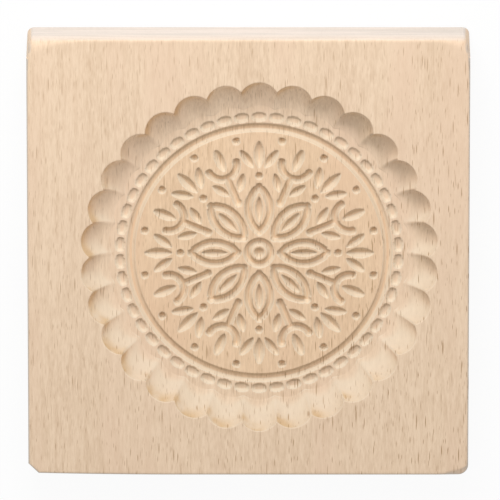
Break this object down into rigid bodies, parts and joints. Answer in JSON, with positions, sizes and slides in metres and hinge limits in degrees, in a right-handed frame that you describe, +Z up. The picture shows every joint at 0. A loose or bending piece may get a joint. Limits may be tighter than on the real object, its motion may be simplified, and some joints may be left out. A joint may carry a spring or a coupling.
{
  "type": "wooden cookie mold",
  "caption": "Square beech press mold with a round scalloped recess, a ring of beads and a carved rosette, for shaping cookie dough by hand.",
  "frame": {"origin": "middle of the flat back face that the mold lies on", "axes": "+Z up out of the carved face, +Y along the grain towards the top of the design, +X to the right seen from the carved face"},
  "size_m": [0.13, 0.1316, 0.018],
  "materials": {
    "beech": "bare sanded wood"
  },
  "bodies": {
    "root": {"mold_block": "beech"}
  },
  "joints": []
}
